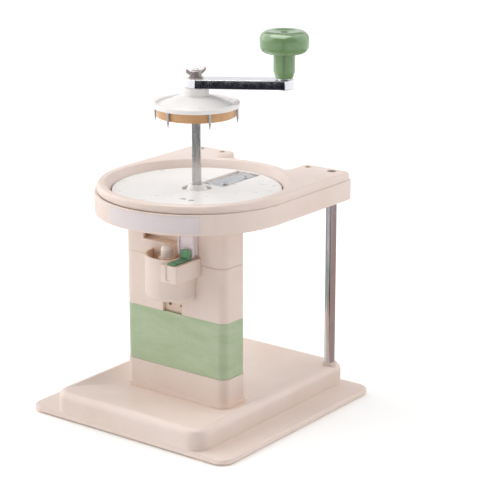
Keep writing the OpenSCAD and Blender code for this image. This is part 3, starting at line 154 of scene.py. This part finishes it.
# finishes: colours are linear, sizes of blotch, speck, grain and rings are in metres
finishLooks = {
    "bodyPlastic": {"slot": "body_plastic", "colour": (0.76, 0.648, 0.595), "shift": (0.72, 0.60, 0.54),
                    "blotch": 0.045, "speck": 0.0016, "speckled": 0.05, "grain": 0.0006, "bump": 0.06,
                    "rough": (0.30, 0.42), "wear": 0.35, "worn": (0.84, 0.77, 0.72), "grimeAndShade": 0.15,
                    "dirtAndShade": (0.52, 0.34, 0.245), "glow": 0.10, "shine": 0.38, "hollowShade": (1.0, 0.77, 0.60)},
    "platePlastic": {"slot": "pale_plastic", "colour": (0.72, 0.57, 0.47), "shift": (0.68, 0.53, 0.43),
                     "blotch": 0.02, "speck": 0.0012, "speckled": 0.05, "grain": 0.0006, "bump": 0.06,
                     "rough": (0.30, 0.42), "wear": 0.3, "worn": (0.82, 0.74, 0.68), "grimeAndShade": 0.4,
                     "dirtAndShade": (0.35, 0.24, 0.18)},
    # the grip ring: the pale plastic darkened and warmed, painted shade from the disc above it
    "ringPlasticShaded": {"slot": "pale_plastic", "colour": (0.62, 0.36, 0.175), "shift": (0.56, 0.31, 0.14),
                    "blotch": 0.02, "speck": 0.0012, "speckled": 0.06, "grain": 0.0005, "bump": 0.05,
                    "rough": (0.26, 0.36), "wear": 0.25, "worn": (0.76, 0.56, 0.40), "grimeAndShade": 0.35,
                    "dirtAndShade": (0.28, 0.14, 0.06)},
    # the white plastic's corner darkening is tinted mauve: painted shade on the inner wall of the disc's lip
    "whitePlastic": {"slot": "white_plastic", "colour": (0.855, 0.835, 0.825), "shift": (0.82, 0.80, 0.79),
                     "blotch": 0.04, "speck": 0.0014, "speckled": 0.03, "grain": 0.0006, "bump": 0.04,
                     "rough": (0.26, 0.36), "wear": 0.15, "worn": (0.92, 0.92, 0.92), "grimeAndShade": 0.65,
                     "dirtAndShade": (0.42, 0.335, 0.345), "shine": 0.38},
    # the release button: the white plastic made lighter and warmer, painted light against the deck's shade
    "buttonPlasticBrightened": {"slot": "white_plastic", "colour": (0.90, 0.83, 0.78), "shift": (0.87, 0.79, 0.74),
                      "blotch": 0.01, "speck": 0.0012, "speckled": 0.03, "grain": 0.0006, "bump": 0.03,
                      "rough": (0.22, 0.32), "wear": 0.2, "worn": (0.86, 0.80, 0.75), "grimeAndShade": 0.3,
                      "dirtAndShade": (0.48, 0.36, 0.30), "glow": 0.08},
    # the lift post: the white plastic darkened to a lavender grey, painted shade under the deck
    "postPlasticShaded": {"slot": "white_plastic", "colour": (0.79, 0.70, 0.73), "shift": (0.75, 0.66, 0.70),
                    "blotch": 0.02, "speck": 0.0012, "speckled": 0.03, "grain": 0.0006, "bump": 0.04,
                    "rough": (0.24, 0.34), "wear": 0.25, "worn": (0.84, 0.78, 0.80), "grimeAndShade": 0.35,
                    "dirtAndShade": (0.38, 0.30, 0.32)},
    "bandGreen": {"slot": "band_green", "colour": (0.445, 0.535, 0.365), "shift": (0.375, 0.475, 0.295),
                  "blotch": 0.010, "stretch": (0.35, 0.35, 1.3), "speck": 0.0011, "speckled": 0.16,
                  "grain": 0.0009, "bump": 0.16, "rough": (0.40, 0.56), "wear": 0.35,
                  "worn": (0.56, 0.64, 0.49), "grimeAndShade": 0.4, "dirtAndShade": (0.16, 0.22, 0.11)},
    "knobGreen": {"slot": "knob_green", "colour": (0.160, 0.285, 0.122), "shift": (0.140, 0.252, 0.106),
                  "blotch": 0.02, "speck": 0.0012, "speckled": 0.04, "grain": 0.0007, "bump": 0.02,
                  "rough": (0.22, 0.27), "wear": 0.2, "worn": (0.26, 0.40, 0.20), "grimeAndShade": 0.3, "coat": 0.5,
                  "dirtAndShade": (0.06, 0.10, 0.05), "rings": 0.0016},
    # near-black, strong corner darkening: painted shade in the grooves of the pad
    "sliderGreen": {"slot": "slider_green", "colour": (0.135, 0.35, 0.19), "shift": (0.11, 0.30, 0.16),
                    "blotch": 0.008, "speck": 0.0010, "speckled": 0.05, "grain": 0.0005, "bump": 0.05,
                    "rough": (0.26, 0.36), "wear": 0.45, "worn": (0.24, 0.50, 0.33), "grimeAndShade": 0.9,
                    "dirtAndShade": (0.008, 0.025, 0.016)},
    "footRubber": {"slot": "foot_rubber", "colour": (0.055, 0.055, 0.058), "shift": (0.085, 0.085, 0.085),
                   "blotch": 0.008, "speck": 0.0010, "speckled": 0.2, "grain": 0.0007, "bump": 0.25,
                   "rough": (0.70, 0.85), "wear": 0.4, "worn": (0.15, 0.15, 0.15), "grimeAndShade": 0.3,
                   "dirtAndShade": (0.20, 0.19, 0.17)},
    "chrome": {"slot": "chrome", "colour": (0.74, 0.75, 0.78), "shift": (0.69, 0.70, 0.74),
               "blotch": 0.015, "speck": 0.0008, "speckled": 0.03, "grain": 0.0004, "bump": 0.010,
               "rough": (0.05, 0.12), "wear": 0.0, "worn": (0.8, 0.8, 0.8), "grimeAndShade": 0.35,
               "dirtAndShade": (0.20, 0.19, 0.19), "metal": 1.0},
    "steel": {"slot": "steel", "colour": (0.55, 0.55, 0.56), "shift": (0.47, 0.47, 0.48),
              "blotch": 0.004, "speck": 0.0006, "speckled": 0.08, "grain": 0.0003, "bump": 0.08,
              "rough": (0.24, 0.40), "wear": 0.4, "worn": (0.74, 0.74, 0.75), "grimeAndShade": 0.5,
              "dirtAndShade": (0.12, 0.11, 0.10), "metal": 1.0},
    "shaftSteel": {"slot": "steel", "colour": (0.60, 0.60, 0.61), "shift": (0.53, 0.53, 0.54),
                   "blotch": 0.003, "stretch": (1.0, 1.0, 0.05), "speck": 0.0006, "speckled": 0.05,
                   "grain": 0.0003, "bump": 0.05, "rough": (0.20, 0.32), "wear": 0.4,
                   "worn": (0.76, 0.76, 0.77), "grimeAndShade": 0.4, "dirtAndShade": (0.12, 0.11, 0.10), "metal": 1.0},
    # the wing nut and washer: steel tinted mauve, a painted reflection of the pink plastic round them
    "nutSteelPinkReflection": {"slot": "steel", "colour": (0.40, 0.35, 0.345), "shift": (0.31, 0.265, 0.26),
                 "blotch": 0.003, "speck": 0.0006, "speckled": 0.12, "grain": 0.0004, "bump": 0.15,
                 "rough": (0.28, 0.46), "wear": 0.5, "worn": (0.62, 0.59, 0.58), "grimeAndShade": 0.6,
                 "dirtAndShade": (0.05, 0.04, 0.04), "metal": 1.0},
    # the screws on the deck's top: steel darkened, painted shade of the counterbores they sit in
    "darkSteelShaded": {"slot": "steel", "colour": (0.16, 0.155, 0.15), "shift": (0.11, 0.105, 0.10),
                  "blotch": 0.003, "speck": 0.0006, "speckled": 0.12, "grain": 0.0003, "bump": 0.12,
                  "rough": (0.32, 0.48), "wear": 0.5, "worn": (0.42, 0.41, 0.40), "grimeAndShade": 0.6,
                  "dirtAndShade": (0.03, 0.025, 0.02), "metal": 1.0},
    "bladeSteel": {"slot": "blade_steel", "colour": (0.66, 0.67, 0.69), "shift": (0.58, 0.59, 0.61),
                   "blotch": 0.003, "stretch": (1.0, 0.04, 1.0), "speck": 0.0005, "speckled": 0.10,
                   "grain": 0.00025, "bump": 0.06, "rough": (0.18, 0.32), "wear": 0.3,
                   "worn": (0.80, 0.80, 0.82), "grimeAndShade": 0.3, "dirtAndShade": (0.2, 0.19, 0.18), "metal": 1.0},
    # the blank strip: white paper greyed to lavender, painted shade on the skirt's front
    "stripPaperShaded": {"slot": "white_plastic", "colour": (0.71, 0.635, 0.645), "shift": (0.68, 0.605, 0.62),
                   "blotch": 0.02, "speck": 0.0007, "speckled": 0.05, "grain": 0.0003, "bump": 0.05,
                   "rough": (0.34, 0.46), "wear": 0.25, "worn": (0.80, 0.75, 0.77), "grimeAndShade": 0.3,
                   "dirtAndShade": (0.42, 0.34, 0.34)},
}
otherFinish = {"grip_ring": "ringPlasticShaded", "lift_post": "postPlasticShaded", "release_button": "buttonPlasticBrightened",
               "crank_shaft": "shaftSteel", "wing_nut": "nutSteelPinkReflection", "arm_washer": "nutSteelPinkReflection",
               "deck_screws": "darkSteelShaded", "rod_top_screws": "darkSteelShaded"}
# what all finishes share: radii, reaches and depths in metres, ranges as the two ends of a mask
finishShared = {
    "coatRough": 0.08, "glowRadius": (1.0, 0.45, 0.28), "glowScale": 0.004,
    "driftDetail": 4, "driftRange": (0.33, 0.67),
    "speckDetail": 3, "speckRange": (0.45, 0.75), "speckGain": 2, "speckDark": 0.72,
    "edgeRadius": 0.0005, "edgeSamples": 4, "rubRange": (0.985, 0.80),
    "shadeSamples": 6, "hollowReach": 0.05, "hollowRange": (0.50, 0.15), "hollowMost": 0.90,
    "cornerReach": 0.004, "cornerRange": (0.75, 0.25),
    "glossSize": 0.4, "glossDetail": 4, "glossRange": (0.3, 0.7),
    "grainDetail": 2, "grainDepth": 0.0002, "ringScale": 0.31, "ringWarp": 0.4, "ringWeight": 1.6,
}


def addNode(tree, kind, **values):
    node = tree.nodes.new(kind)
    for key, value in values.items():
        if key in node.inputs:
            node.inputs[key].default_value = value
        else:
            setattr(node, key, value)
    return node


def noiseAt(tree, point, size, detail):
    noise = addNode(tree, "ShaderNodeTexNoise", Scale=1.0 / size, Detail=detail)
    tree.links.new(point, noise.inputs["Vector"])
    return noise.outputs["Fac"]


def remap(tree, value, low, high, start, end):
    part = addNode(tree, "ShaderNodeMapRange")
    for key, number in zip(("From Min", "From Max", "To Min", "To Max"), (low, high, start, end)):
        part.inputs[key].default_value = number
    tree.links.new(value, part.inputs["Value"])
    return part.outputs["Result"]


def mixOver(tree, mask, under, over):
    mix = addNode(tree, "ShaderNodeMix", data_type='RGBA')
    tree.links.new(mask, mix.inputs["Factor"])
    for place, colour in ((6, under), (7, over)):  # the two colour sockets of a mix node
        if isinstance(colour, tuple):
            mix.inputs[place].default_value = (*colour, 1)
        else:
            tree.links.new(colour, mix.inputs[place])
    return mix.outputs[2]


def makeFinish(name, look, shared):
    mat = bpy.data.materials.new(name)
    mat.use_nodes = True
    tree = mat.node_tree
    shader = tree.nodes["Principled BSDF"]
    shader.inputs["Metallic"].default_value = look.get("metal", 0.0)
    shader.inputs["Specular IOR Level"].default_value = look.get("shine", 0.5)
    shader.inputs["Coat Weight"].default_value = look.get("coat", 0.0)
    shader.inputs["Coat Roughness"].default_value = shared["coatRough"]
    shader.inputs["Subsurface Weight"].default_value = look.get("glow", 0.0)
    shader.inputs["Subsurface Radius"].default_value = shared["glowRadius"]
    shader.inputs["Subsurface Scale"].default_value = shared["glowScale"]
    coords = addNode(tree, "ShaderNodeTexCoord")
    mapping = addNode(tree, "ShaderNodeMapping", Scale=look.get("stretch", (1, 1, 1)))
    tree.links.new(coords.outputs["Object"], mapping.inputs["Vector"])
    point = mapping.outputs["Vector"]

    # broad drift of tone, then fine specks
    drift = noiseAt(tree, point, look["blotch"], shared["driftDetail"])
    drift = remap(tree, drift, *shared["driftRange"], 0.0, 1.0)
    tone = mixOver(tree, drift, look["shift"], look["colour"])
    speck = noiseAt(tree, point, look["speck"], shared["speckDetail"])
    speck = remap(tree, speck, *shared["speckRange"], 0.0, look["speckled"] * shared["speckGain"])
    tone = mixOver(tree, speck, tone, tuple(c * shared["speckDark"] for c in look["shift"]))

    # rubbed edges, found where the softened normal leaves the face's own
    edge = addNode(tree, "ShaderNodeBevel", samples=shared["edgeSamples"], Radius=shared["edgeRadius"])
    flat = addNode(tree, "ShaderNodeNewGeometry")
    facing = addNode(tree, "ShaderNodeVectorMath", operation='DOT_PRODUCT')
    tree.links.new(edge.outputs["Normal"], facing.inputs[0])
    tree.links.new(flat.outputs["True Normal"], facing.inputs[1])
    rub = remap(tree, facing.outputs["Value"], *shared["rubRange"], 0.0, look["wear"])
    tone = mixOver(tree, rub, tone, look["worn"])

    # painted warm shade inside deep hollows, then darker corners: grime together with painted shade
    if "hollowShade" in look:
        hollow = addNode(tree, "ShaderNodeAmbientOcclusion", samples=shared["shadeSamples"],
                         Distance=shared["hollowReach"])
        deep = remap(tree, hollow.outputs["AO"], *shared["hollowRange"], 0.0, shared["hollowMost"])
        tone = mixOver(tree, deep, tone, look["hollowShade"])
    # corner darkening within a few millimetres: partly grime, partly painted shade in corners, creases and
    # grooves
    shade = addNode(tree, "ShaderNodeAmbientOcclusion", samples=shared["shadeSamples"],
                    Distance=shared["cornerReach"])
    corner = remap(tree, shade.outputs["AO"], *shared["cornerRange"], 0.0, look["grimeAndShade"])
    tone = mixOver(tree, corner, tone, look["dirtAndShade"])
    tree.links.new(tone, shader.inputs["Base Color"])

    # uneven gloss
    gloss = noiseAt(tree, point, look["blotch"] * shared["glossSize"], shared["glossDetail"])
    gloss = remap(tree, gloss, *shared["glossRange"], *look["rough"])
    tree.links.new(gloss, shader.inputs["Roughness"])

    # fine grain, and turned rings where the look has them
    height = noiseAt(tree, point, look["grain"], shared["grainDetail"])
    if "rings" in look:
        ring = addNode(tree, "ShaderNodeTexWave", bands_direction='Z',
                       Scale=shared["ringScale"] / look["rings"], Distortion=shared["ringWarp"])
        tree.links.new(point, ring.inputs["Vector"])
        both = addNode(tree, "ShaderNodeMath", operation='MULTIPLY_ADD')
        both.inputs[1].default_value = shared["ringWeight"]
        tree.links.new(ring.outputs["Fac"], both.inputs[0])
        tree.links.new(height, both.inputs[2])
        height = both.outputs["Value"]
    grain = addNode(tree, "ShaderNodeBump", Strength=look["bump"], Distance=shared["grainDepth"])
    tree.links.new(height, grain.inputs["Height"])
    tree.links.new(edge.outputs["Normal"], grain.inputs["Normal"])
    tree.links.new(grain.outputs["Normal"], shader.inputs["Normal"])
    return mat


finishes = {name: makeFinish(name, look, finishShared) for name, look in finishLooks.items()}
finishOfSlot = {}
for name, look in finishLooks.items():
    finishOfSlot.setdefault(look["slot"], name)
slotOf = {}
finishOf = {}
for name, node in nodes.items():
    slotOf[name] = node.data.materials[0].name
    finishOf[name] = otherFinish.get(name, finishOfSlot[slotOf[name]])
    node.material_slots[0].material = finishes[finishOf[name]]
print("finishes made,", len(finishes))


# lengths in metres: points this near are one, and faces or edges this thin are slivers of a bevel or a cut
tiny = 1e-6
sliver = 3e-6
squareOn = 0.9  # a face looks along a way if their dot product is above this


def onlyThis(piece):
    bpy.ops.object.select_all(action='DESELECT')
    piece.select_set(True)
    bpy.context.view_layer.objects.active = piece


def startEdit(piece):
    onlyThis(piece)
    bpy.ops.object.mode_set(mode='EDIT')


def endEdit():
    bpy.ops.object.mode_set(mode='OBJECT')


def pick(piece, kind, test):
    bpy.ops.mesh.select_mode(type=kind)
    bpy.ops.mesh.select_all(action='DESELECT')
    mesh = bmesh.from_edit_mesh(piece.data)
    for part in {'VERT': mesh.verts, 'EDGE': mesh.edges, 'FACE': mesh.faces}[kind]:
        if test(part):
            part.select_set(True)
    bmesh.update_edit_mesh(piece.data)


def pushOut(step):
    bpy.ops.mesh.extrude_region_move(TRANSFORM_OT_translate={"value": step})


def applyAll(piece):
    onlyThis(piece)
    for mod in list(piece.modifiers):
        bpy.ops.object.modifier_apply(modifier=mod.name)


def carve(piece, tool, how):
    mod = piece.modifiers.new("carve", 'BOOLEAN')
    mod.operation = how
    mod.solver = 'EXACT'
    mod.object = tool
    applyAll(piece)
    bpy.data.objects.remove(tool, do_unlink=True)


def settle(piece, angle=30):
    onlyThis(piece)
    bpy.ops.object.transform_apply(location=True, rotation=True, scale=True)
    startEdit(piece)
    bpy.ops.mesh.select_all(action='SELECT')
    bpy.ops.mesh.remove_doubles(threshold=sliver)
    bpy.ops.mesh.dissolve_degenerate(threshold=sliver)
    endEdit()
    bpy.ops.object.shade_smooth_by_angle(angle=math.radians(angle))
    # keeps flat faces flat beside their rounded edges
    even = piece.modifiers.new("even", 'WEIGHTED_NORMAL')
    even.keep_sharp = True
    applyAll(piece)


def twin(piece, name, place):
    other = bpy.data.objects.new(name, piece.data.copy())
    bpy.context.collection.objects.link(other)
    other.matrix_world = place
    return other


def joinAll(parts, name):
    bpy.ops.object.select_all(action='DESELECT')
    for part in parts:
        part.select_set(True)
    bpy.context.view_layer.objects.active = parts[0]
    bpy.ops.object.join()
    parts[0].name = name
    return parts[0]


def dress(piece, nodeName, finish=None, stands=True):
    piece.data.materials.clear()
    piece.data.materials.append(finishes[finish or finishOf[nodeName]])
    if stands:
        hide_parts(nodeName)
    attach(piece, bodyOf[nodeName])
    bpy.ops.object.select_all(action='DESELECT')


# grooves between the ridges of the slider's pad
padSetup = {"first": (0.0241, -0.07069, 0.15745), "step": 0.00381, "count": 4, "wide": 0.0070,
            "across": 0.0016, "deep": 0.0015}

# moulded, milled and turned parts: the solid's own mesh, merged, with the sharp edges that have room rounded
softSetup = {
    "base_tray": {"edge": 0.0006, "clamp": False},
    "column_low": {"edge": 0.0005, "clamp": True},
    "column_mid": {"edge": 0.0004, "clamp": True},
    "notch_plate": {"edge": 0.0003, "clamp": True},
    "cup_housing": {"edge": 0.0005, "clamp": False},
    "lift_slider": {"edge": 0.00035, "clamp": True, "grooves": padSetup},
    "lift_post": {"edge": 0.0005, "clamp": True},
    "deck_skirt": {"edge": 0.0008, "clamp": False},
    "deck_top": {"edge": 0.0005, "clamp": False},
    "cutting_table": {"edge": 0.0004, "clamp": True},
    "blade_bed": {"edge": 0.0004, "clamp": True},
    "shaft_bush": {"edge": 0.0004, "clamp": False},
    "press_disc": {"edge": 0.0005, "clamp": False},
    "grip_ring": {"edge": 0.0004, "clamp": True},
    "crank_arm": {"edge": 0.0006, "clamp": True},
    "crank_shaft": {"edge": 0.0004, "clamp": True},
    "rubber_feet": {"edge": 0.0004, "clamp": True},
    "knob": {"edge": 0.0003, "clamp": True},
}
# angles in degrees; a corner has room if its edges are longer than these multiples of the rounding
roundSetup = {"sharp": 32, "level": 0.6, "roomSharp": 1.3, "roomFlat": 2.6, "segments": 2}


def grooves(piece, make):
    bpy.ops.mesh.primitive_cube_add(size=1, location=make["first"])
    tool = bpy.context.object
    tool.scale = (make["wide"], make["across"], make["deep"] * 2)
    bpy.ops.object.transform_apply(location=True, scale=True)
    row = tool.modifiers.new("row", 'ARRAY')
    row.count = make["count"]
    row.use_relative_offset = False
    row.use_constant_offset = True
    row.constant_offset_displace = (0, make["step"], 0)
    applyAll(tool)
    carve(piece, tool, 'DIFFERENCE')


def roundEdges(piece, soft, make):
    mesh = bmesh.from_edit_mesh(piece.data)
    sharp = {e for e in mesh.edges if e.calc_face_angle(0) > math.radians(make["sharp"])}

    def hasRoom(edge):
        return edge.calc_length() > soft["edge"] * make["roomSharp" if edge in sharp else "roomFlat"]

    free = {v for v in mesh.verts if all(hasRoom(e) for e in v.link_edges)}
    pick(piece, 'EDGE', lambda edge: edge in sharp and free.issuperset(edge.verts))
    bpy.ops.mesh.bevel(offset=soft["edge"], segments=make["segments"], affect='EDGES',
                       clamp_overlap=soft["clamp"], miter_outer='ARC')


for nodeName, soft in softSetup.items():
    piece = bpy.data.objects.new(nodeName + "_soft", nodes[nodeName].data.copy())
    bpy.context.collection.objects.link(piece)
    startEdit(piece)
    bpy.ops.mesh.select_all(action='SELECT')
    bpy.ops.mesh.remove_doubles(threshold=tiny)
    bpy.ops.mesh.customdata_custom_splitnormals_clear()
    bpy.ops.mesh.dissolve_limited(angle_limit=math.radians(roundSetup["level"]))
    bpy.ops.mesh.select_mode(type='EDGE')
    roundEdges(piece, soft, roundSetup)
    endEdit()
    if "grooves" in soft:
        grooves(piece, soft["grooves"])
    settle(piece)
    dress(piece, nodeName)
print("edges rounded on", len(softSetup), "pieces")


# screws with a cross recess; head and shank are diameters
screwSetup = {
    "deck_screws": {"head": 0.0054, "tall": 0.0018, "shank": 0.003, "long": 0.0123,
                    "at": [(0.051, 0.097, 0.2128), (-0.051, 0.097, 0.2128)]},
    "rod_top_screws": {"head": 0.0082, "tall": 0.0030, "shank": 0.005, "long": 0.0212,
                       "at": [(0.078, 0.097, 0.2120), (-0.078, 0.097, 0.2120)]},
    "rod_foot_screws": {"head": 0.0082, "tall": 0.0029, "shank": 0.005, "long": 0.0249, "tip": (180, 0, 0),
                        "at": [(0.078, 0.097, 0.0045), (-0.078, 0.097, 0.0045)]},
    "table_screws": {"head": 0.0054, "tall": 0.0018, "shank": 0.003, "long": 0.0089,
                     "at": [(0.01588, -0.04545, 0.2077), (0.02462, -0.04545, 0.2077)]},
    "blade_screws": {"head": 0.0054, "tall": 0.0009, "shank": 0.003, "long": 0.0089, "tip": (0, 8, 0),
                     "at": [(0.009645, 0.0228, 0.208504), (0.009645, 0.0538, 0.208504)]},
    "cup_screws": {"head": 0.0054, "tall": 0.0018, "shank": 0.003, "long": 0.0065, "tip": (90, 0, 0),
                   "at": [(0.015, -0.0437, 0.126), (-0.015, -0.0437, 0.126)]},
}
# shares: dome and deep of the head's height, slot and reach of its radius, point of the shank's radius,
# foot of the recess's width; spin turns the second screw of a pair
crossSetup = {"sides": 40, "dome": 0.5, "domeSteps": 4, "point": 0.4, "slot": 0.22, "deep": 0.62,
              "reach": 0.5, "foot": 0.6, "spin": 35}


def crossScrew(make, cross):
    headR, shankR, tall = make["head"] / 2, make["shank"] / 2, make["tall"]
    bpy.ops.mesh.primitive_cylinder_add(
        vertices=cross["sides"], radius=headR, depth=tall, location=(0, 0, tall / 2))
    screw = bpy.context.object
    bpy.ops.object.transform_apply(location=True)
    startEdit(screw)
    pick(screw, 'EDGE', lambda edge: all(v.co.z > tall - tiny for v in edge.verts))
    bpy.ops.mesh.bevel(offset=tall * cross["dome"], segments=cross["domeSteps"], affect='EDGES')
    pick(screw, 'FACE', lambda face: face.normal.z < -squareOn)
    bpy.ops.mesh.inset(thickness=headR - shankR)
    pushOut((0, 0, -make["long"] + shankR))
    pushOut((0, 0, -shankR))
    bpy.ops.transform.resize(value=(cross["point"], cross["point"], 1))
    endEdit()

    # cross-shaped tool, narrower at its foot
    slot, deep, reach = headR * cross["slot"], tall * cross["deep"], headR * cross["reach"]
    bpy.ops.mesh.primitive_cube_add(size=1, location=(0, 0, tall))
    tool = bpy.context.object
    tool.scale = (slot, slot, deep * 2)
    bpy.ops.object.transform_apply(location=True, scale=True)
    startEdit(tool)
    for way in (Vector((1, 0, 0)), Vector((-1, 0, 0)), Vector((0, 1, 0)), Vector((0, -1, 0))):
        pick(tool, 'FACE', lambda face: face.normal.dot(way) > squareOn
             and abs(face.calc_center_median().dot(way.yxz)) < slot / 2)
        pushOut(way * reach)
    pick(tool, 'VERT', lambda v: v.co.z < tall)
    bpy.ops.transform.resize(value=(cross["foot"], cross["foot"], 1), center_override=(0, 0, tall))
    endEdit()
    carve(screw, tool, 'DIFFERENCE')
    return screw


for nodeName, make in screwSetup.items():
    screw = crossScrew(make, crossSetup)
    turn = Matrix.Identity(4)
    for axis, degrees in zip("XYZ", make.get("tip", (0, 0, 0))):
        turn = Matrix.Rotation(math.radians(degrees), 4, axis) @ turn
    spin = Matrix.Rotation(math.radians(crossSetup["spin"]), 4, 'Z')
    second = twin(screw, nodeName + "_second", Matrix.Translation(make["at"][1]) @ turn @ spin)
    screw.matrix_world = Matrix.Translation(make["at"][0]) @ turn
    settle(second)
    settle(screw)
    dress(joinAll([screw, second], nodeName + "_cross"), nodeName)
print("screws made,", len(screwSetup), "pairs")


# wing nut, on the crank's axis and turned as the solid is
wingSetup = {"low": 0.0055, "top": 0.0044, "tall": 0.0056, "sides": 48, "edge": 0.0005, "bore": 0.00305,
             "drill": 0.04, "turn": 78, "at": (0, -0.0062, 0.3117), "smooth": 40, "segments": 3,
             "root": (0.0038, 0, 0.0029), "block": (0.0012, 0.0027, 0.0038), "round": 0.0007,
             "steps": [((0.0028, 0, 0.0012), (1, 0.94, 0.90)), ((0.0024, 0, 0.0017), (1, 0.94, 1.20)),
                       ((0.0016, 0, 0.0009), (1, 0.90, 0.80))]}


def wingNut(make):
    bpy.ops.mesh.primitive_cylinder_add(
        vertices=make["sides"], radius=make["low"], depth=make["tall"], location=(0, 0, make["tall"] / 2))
    hub = bpy.context.object
    bpy.ops.object.transform_apply(location=True)
    startEdit(hub)
    pick(hub, 'FACE', lambda face: face.normal.z > squareOn)
    slim = make["top"] / make["low"]
    bpy.ops.transform.resize(value=(slim, slim, 1))
    pick(hub, 'EDGE', lambda edge: abs(edge.verts[0].co.z - edge.verts[1].co.z) < tiny)
    bpy.ops.mesh.bevel(offset=make["edge"], segments=make["segments"], affect='EDGES')
    endEdit()

    # one wing: a root block drawn up and out in steps, then rounded
    bpy.ops.mesh.primitive_cube_add(size=1, location=make["root"])
    wing = bpy.context.object
    wing.scale = make["block"]
    bpy.ops.object.transform_apply(location=True, scale=True)
    startEdit(wing)
    for step, grow in make["steps"]:
        tip = max(v.co.x for v in bmesh.from_edit_mesh(wing.data).verts) - tiny
        pick(wing, 'FACE', lambda face: all(v.co.x > tip for v in face.verts))
        pushOut(step)
        bpy.ops.transform.resize(value=grow)
    bpy.ops.mesh.select_mode(type='EDGE')
    bpy.ops.mesh.select_all(action='SELECT')
    bpy.ops.mesh.bevel(offset=make["round"], segments=make["segments"], affect='EDGES', clamp_overlap=True)
    endEdit()
    other = twin(wing, "wingBack", Matrix.Rotation(math.pi, 4, 'Z'))
    settle(other)
    carve(hub, wing, 'UNION')
    carve(hub, other, 'UNION')
    bpy.ops.mesh.primitive_cylinder_add(vertices=make["sides"], radius=make["bore"], depth=make["drill"])
    carve(hub, bpy.context.object, 'DIFFERENCE')
    turn = Matrix.Rotation(math.radians(make["turn"]), 4, 'Z')
    hub.matrix_world = Matrix.Translation(make["at"]) @ turn
    settle(hub, make["smooth"])
    hub.name = "wing_nut_cast"
    return hub


dress(wingNut(wingSetup), "wing_nut")

# thread on the shaft's end, above the nut; out is the profile's place as a share of the thread's depth
threadSetup = {"root": 0.00292, "crest": 0.00315, "corners": 3, "out": 0.3, "pitch": 0.0007, "turns": 2,
               "steps": 40, "at": (0, -0.0062, 0.31738)}


def stubThread(make):
    deep = make["crest"] - make["root"]
    bpy.ops.mesh.primitive_circle_add(
        vertices=make["corners"], radius=deep, rotation=(math.radians(90), 0, 0))
    thread = bpy.context.object
    thread.name = "stub_thread"
    thread.location = (make["root"] + deep * make["out"], 0, 0)
    bpy.ops.object.transform_apply(location=True, rotation=True)
    wind = thread.modifiers.new("wind", 'SCREW')
    wind.screw_offset = make["pitch"]
    wind.iterations = make["turns"]
    wind.steps = wind.render_steps = make["steps"]
    applyAll(thread)
    startEdit(thread)
    bpy.ops.mesh.select_all(action='SELECT')
    bpy.ops.mesh.fill_holes(sides=make["corners"])
    bpy.ops.mesh.normals_make_consistent(inside=False)
    endEdit()
    thread.location = make["at"]
    settle(thread)
    return thread


dress(stubThread(threadSetup), "crank_shaft", stands=False)
print("wing nut and thread made")


# blank strip stuck round the front of the skirt
stripSetup = {"radius": 0.09332, "axis": (0, -0.0062), "sides": 360, "from": -107, "to": -49.5,
              "low": 0.1921, "high": 0.2072, "thick": 0.00012, "corner": 0.0012, "cornerSteps": 4}


def blankStrip(make):
    bpy.ops.mesh.primitive_cylinder_add(
        vertices=make["sides"], radius=make["radius"], depth=make["high"] - make["low"],
        end_fill_type='NOTHING', location=(*make["axis"], (make["high"] + make["low"]) / 2))
    strip = bpy.context.object
    strip.name = "blank_strip"
    bpy.ops.object.transform_apply(location=True)
    startEdit(strip)

    def angleOf(co):
        return math.degrees(math.atan2(co.y - make["axis"][1], co.x - make["axis"][0]))

    pick(strip, 'FACE', lambda face: not make["from"] < angleOf(face.calc_center_median()) < make["to"])
    bpy.ops.mesh.delete(type='FACE')
    pick(strip, 'VERT', lambda v: len(v.link_edges) == 2)
    bpy.ops.mesh.bevel(offset=make["corner"], segments=make["cornerSteps"], affect='VERTICES')
    endEdit()
    wall = strip.modifiers.new("wall", 'SOLIDIFY')
    wall.thickness = make["thick"]
    wall.offset = 1
    applyAll(strip)
    settle(strip)
    return strip


dress(blankStrip(stripSetup), "deck_skirt", "stripPaperShaded", stands=False)
print("strip made")
